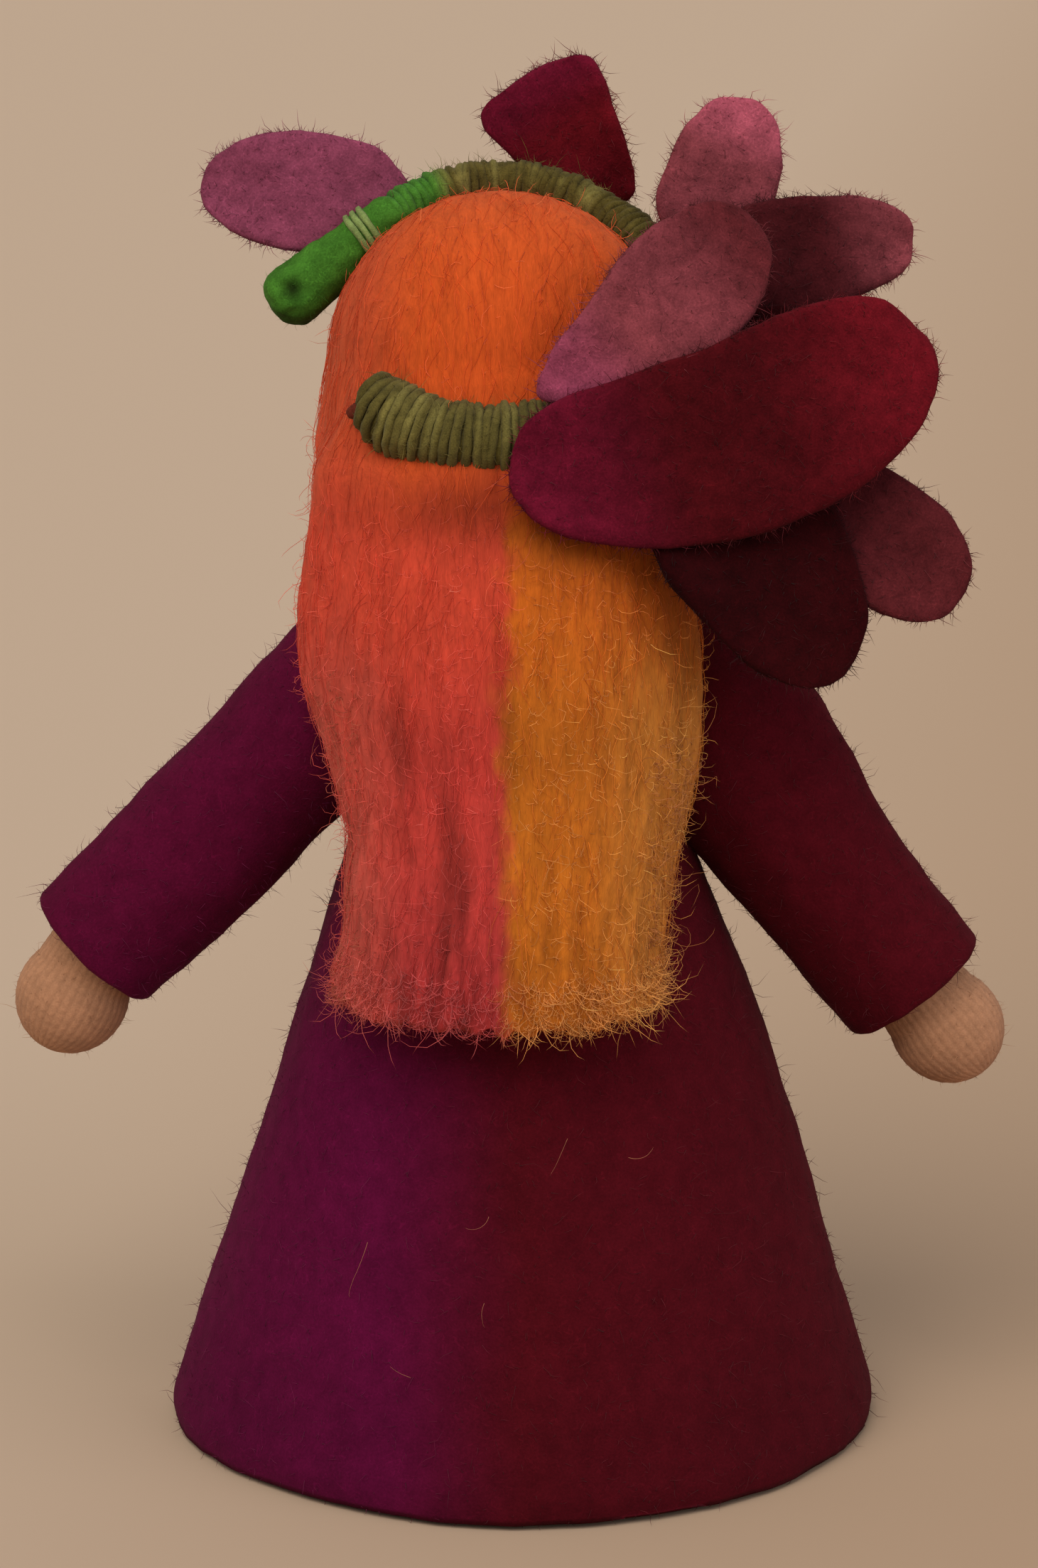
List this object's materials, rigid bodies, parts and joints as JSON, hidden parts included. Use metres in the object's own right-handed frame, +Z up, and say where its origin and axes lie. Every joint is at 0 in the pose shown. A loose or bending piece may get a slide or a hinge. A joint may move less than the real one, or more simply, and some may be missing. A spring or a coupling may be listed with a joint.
{
  "type": "felt flower doll",
  "caption": "Small felt doll standing on the hem of its cone dress, with bendable arms, wool hair down its back and a lift-off petal crown.",
  "frame": {"origin": "middle of the underside of the base disc, in the plane of the dress hem", "axes": "+Z up through the head, -Y towards the face, +X towards the doll's left hand"},
  "size_m": [0.0823, 0.0571, 0.114],
  "materials": {
    "felt_plum": "fuzzy plum wool felt",
    "felt_base": "stiff dark felt",
    "wool_stuffing": "loose wool",
    "wire": "bare wire",
    "skin_knit": "fine cream knit",
    "thread_cream": "twisted thread",
    "thread_dark": "embroidery thread",
    "thread_red": "embroidery thread",
    "hair_orange": "combed wool",
    "hair_red": "combed wool",
    "hair_yellow": "combed wool",
    "yarn_olive": "wound yarn",
    "felt_green": "wool felt",
    "felt_mauve": "fuzzy wool felt",
    "felt_wine": "fuzzy wool felt"
  },
  "bodies": {
    "torso": {"dress_cone": "felt_plum", "base_disc": "felt_base", "body_stuffing": "wool_stuffing", "shoulder_wire": "wire", "neck_wire": "wire", "hair_fall_left": "hair_red", "hair_fall_right": "hair_yellow"},
    "left_shoulder": {"shoulder_puff_left": "felt_plum"},
    "left_arm": {"sleeve_left": "felt_plum", "arm_core_left": "skin_knit", "arm_wire_left": "wire"},
    "left_hand": {"hand_left": "skin_knit"},
    "right_shoulder": {"shoulder_puff_right": "felt_plum"},
    "right_arm": {"sleeve_right": "felt_plum", "arm_core_right": "skin_knit", "arm_wire_right": "wire"},
    "right_hand": {"hand_right": "skin_knit"},
    "head": {"head_ball": "skin_knit", "neck_tie": "thread_cream", "eye_left": "thread_dark", "eye_right": "thread_dark", "mouth_stitch": "thread_red", "hair_cap": "hair_orange"},
    "crown": {"crown_band": "yarn_olive", "crown_band_green": "felt_green", "crown_wire": "wire", "crown_wrap_back": "yarn_olive", "crown_wrap_front": "yarn_olive", "bud_green": "felt_green", "petal_wine_back": "felt_wine", "petal_mauve_back": "felt_mauve", "petal_mauve_low": "felt_mauve", "petal_wine_low": "felt_wine", "petal_wine_side": "felt_wine", "petal_mauve_side": "felt_mauve", "petal_mauve_high": "felt_mauve", "petal_wine_front": "felt_wine", "petal_mauve_left": "felt_mauve"}
  },
  "joints": [
    {"name": "head_turn", "type": "hinge", "parent": "torso", "child": "head", "pos_m": [0.0013, 0, 0.0902], "axis": [0, 0, 1], "range_deg": [-15, 15]},
    {"name": "left_arm_swing", "type": "hinge", "parent": "torso", "child": "left_shoulder", "pos_m": [0.0113, 0, 0.065], "axis": [0, 0, -1], "range_deg": [-8, 30]},
    {"name": "left_arm_raise", "type": "hinge", "parent": "left_shoulder", "child": "left_arm", "pos_m": [0.0113, 0, 0.065], "axis": [0, -1, 0], "range_deg": [-10, 60]},
    {"name": "left_hand_bend", "type": "hinge", "parent": "left_arm", "child": "left_hand", "pos_m": [0.0345, 0, 0.04139], "axis": [0, -1, 0], "range_deg": [-4, 36]},
    {"name": "right_arm_swing", "type": "hinge", "parent": "torso", "child": "right_shoulder", "pos_m": [-0.0113, 0, 0.065], "axis": [0, 0, 1], "range_deg": [-8, 30]},
    {"name": "right_arm_raise", "type": "hinge", "parent": "right_shoulder", "child": "right_arm", "pos_m": [-0.0113, 0, 0.065], "axis": [0, 1, 0], "range_deg": [-10, 52]},
    {"name": "right_hand_bend", "type": "hinge", "parent": "right_arm", "child": "right_hand", "pos_m": [-0.03259, 0, 0.03823], "axis": [0, 1, 0], "range_deg": [-20, 20]},
    {"name": "crown_lift", "type": "slide", "parent": "head", "child": "crown", "axis": [0, 0.6198, 0.7848], "range_m": [0, 0.05]}
  ]
}
